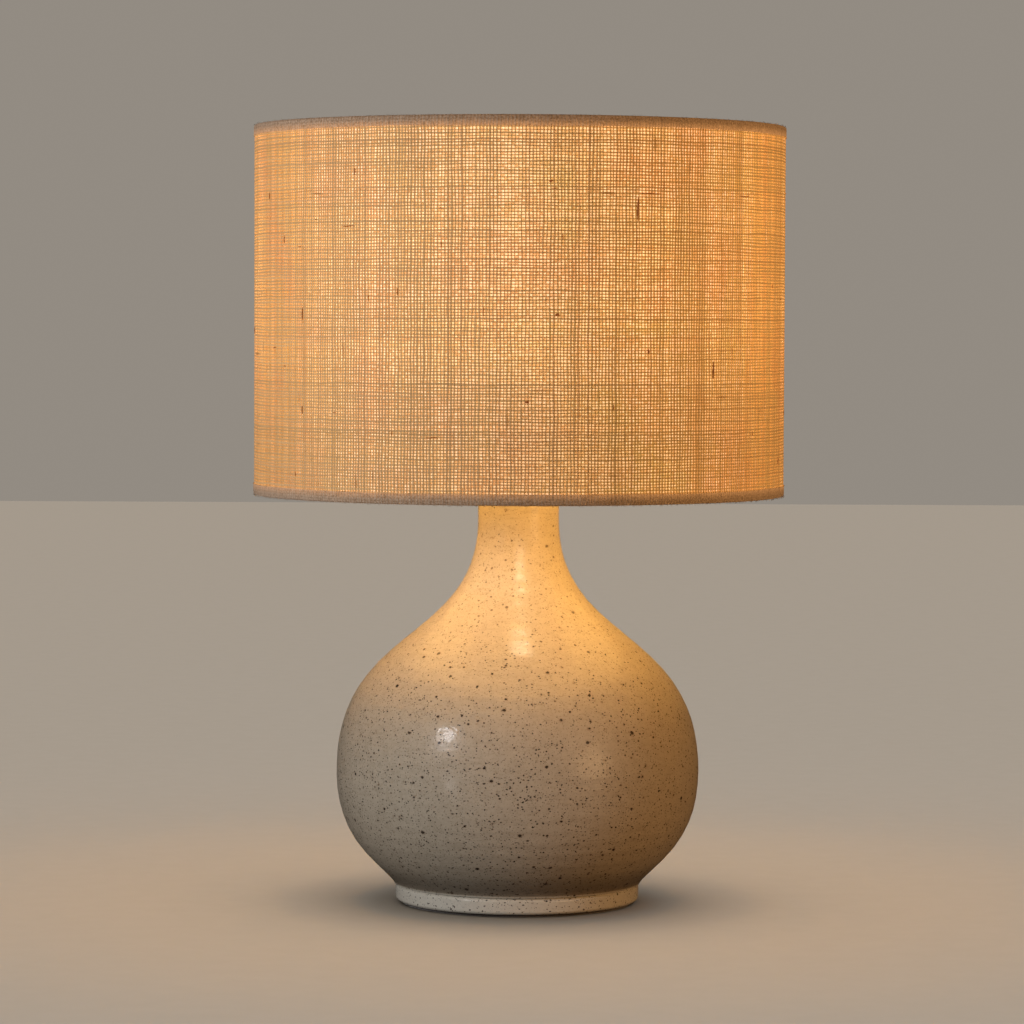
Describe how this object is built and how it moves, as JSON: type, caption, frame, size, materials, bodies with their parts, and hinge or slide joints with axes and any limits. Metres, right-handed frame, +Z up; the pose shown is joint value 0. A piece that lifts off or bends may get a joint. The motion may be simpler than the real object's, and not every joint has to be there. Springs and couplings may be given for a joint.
{
  "type": "table lamp",
  "caption": "Table lamp with a speckled, glazed stoneware vessel, a keyed screw socket, a harp and a linen drum shade held by a finial.",
  "frame": {"origin": "centre of the foot's felt pad, on the surface that the lamp stands on", "axes": "+Z up along the rod; front towards -Y, with the switch key; the cord hole is at the back, towards +Y"},
  "size_m": [0.3564, 0.3564, 0.5214],
  "materials": {
    "stoneware": "satin",
    "felt": "matte",
    "grommet_rubber": "matte",
    "washer_rubber": "matte",
    "zinc_steel": "satin",
    "antique_brass": "satin",
    "kraft_board": "matte",
    "switch_porcelain": "satin",
    "contact_brass": "polished",
    "key_bakelite": "satin",
    "bulb_glass": "satin",
    "stem_glass": "gloss",
    "filament": "matte",
    "bulb_nickel": "satin",
    "bulb_vitrite": "gloss",
    "bulb_solder": "satin",
    "nickel_wire": "satin",
    "shade_liner": "matte",
    "linen": "matte",
    "hem_linen": "matte"
  },
  "bodies": {
    "base": {"ceramic_body": "stoneware", "felt_pad": "felt", "cord_grommet": "grommet_rubber", "lamp_rod": "zinc_steel", "base_rubber_washer": "washer_rubber", "base_steel_washer": "zinc_steel", "base_lock_washer": "zinc_steel", "base_nut": "zinc_steel", "neck_gasket": "washer_rubber", "neck_cap": "antique_brass", "neck_nut": "antique_brass", "harp_saddle": "antique_brass", "socket_cap": "antique_brass", "socket_cap_screw": "zinc_steel", "socket_shell": "antique_brass", "socket_liner": "kraft_board", "socket_body": "switch_porcelain", "screw_shell": "contact_brass", "centre_contact": "contact_brass", "terminal_screws": "contact_brass", "harp_wire": "antique_brass", "harp_stud": "antique_brass"},
    "switch_key": {"switch_shaft": "contact_brass", "switch_knob": "key_bakelite"},
    "bulb_lift": {"bulb_tip": "bulb_solder"},
    "bulb": {"bulb_glass": "bulb_glass", "bulb_stem": "stem_glass", "bulb_filaments": "filament", "bulb_base": "bulb_nickel", "bulb_insulator": "bulb_vitrite"},
    "shade": {"spider_hub": "nickel_wire", "spider_arms": "nickel_wire", "top_ring": "nickel_wire", "bottom_ring": "nickel_wire", "shade_liner": "shade_liner", "shade_fabric": "linen", "top_hem": "hem_linen", "bottom_hem": "hem_linen"},
    "finial_lift": {"finial_insert": "antique_brass"},
    "finial": {"finial_knob": "antique_brass"},
    "left_ferrule": {"harp_ferrule_left": "antique_brass"},
    "right_ferrule": {"harp_ferrule_right": "antique_brass"}
  },
  "joints": [
    {"name": "switch_turn", "type": "hinge", "parent": "base", "child": "switch_key", "pos_m": [0, 0, 0.3313], "axis": [0, -1, 0], "continuous": true},
    {"name": "bulb_rise", "type": "slide", "parent": "base", "child": "bulb_lift", "axis": [0, 0, 1], "range_m": [0, 0.0181]},
    {"name": "bulb_unscrew", "type": "hinge", "parent": "bulb_lift", "child": "bulb", "pos_m": [0, 0, 0.3433], "axis": [0, 0, 1], "range_deg": [0, 1800]},
    {"name": "shade_turn", "type": "hinge", "parent": "base", "child": "shade", "pos_m": [0, 0, 0.4989], "axis": [0, 0, 1], "continuous": true},
    {"name": "finial_rise", "type": "slide", "parent": "base", "child": "finial_lift", "axis": [0, 0, 1], "range_m": [0, 0.00939]},
    {"name": "finial_unscrew", "type": "hinge", "parent": "finial_lift", "child": "finial", "pos_m": [0, 0, 0.5002], "axis": [0, 0, 1], "range_deg": [0, 3600]},
    {"name": "left_ferrule_slide", "type": "slide", "parent": "base", "child": "left_ferrule", "axis": [0, 0, 1], "range_m": [0, 0.008]},
    {"name": "right_ferrule_slide", "type": "slide", "parent": "base", "child": "right_ferrule", "axis": [0, 0, 1], "range_m": [0, 0.008]}
  ],
  "couplings": [
    {"joint": "bulb_unscrew", "follows": "bulb_rise", "rad_per_m": 1730.9},
    {"joint": "finial_unscrew", "follows": "finial_rise", "rad_per_m": 6684.2}
  ]
}
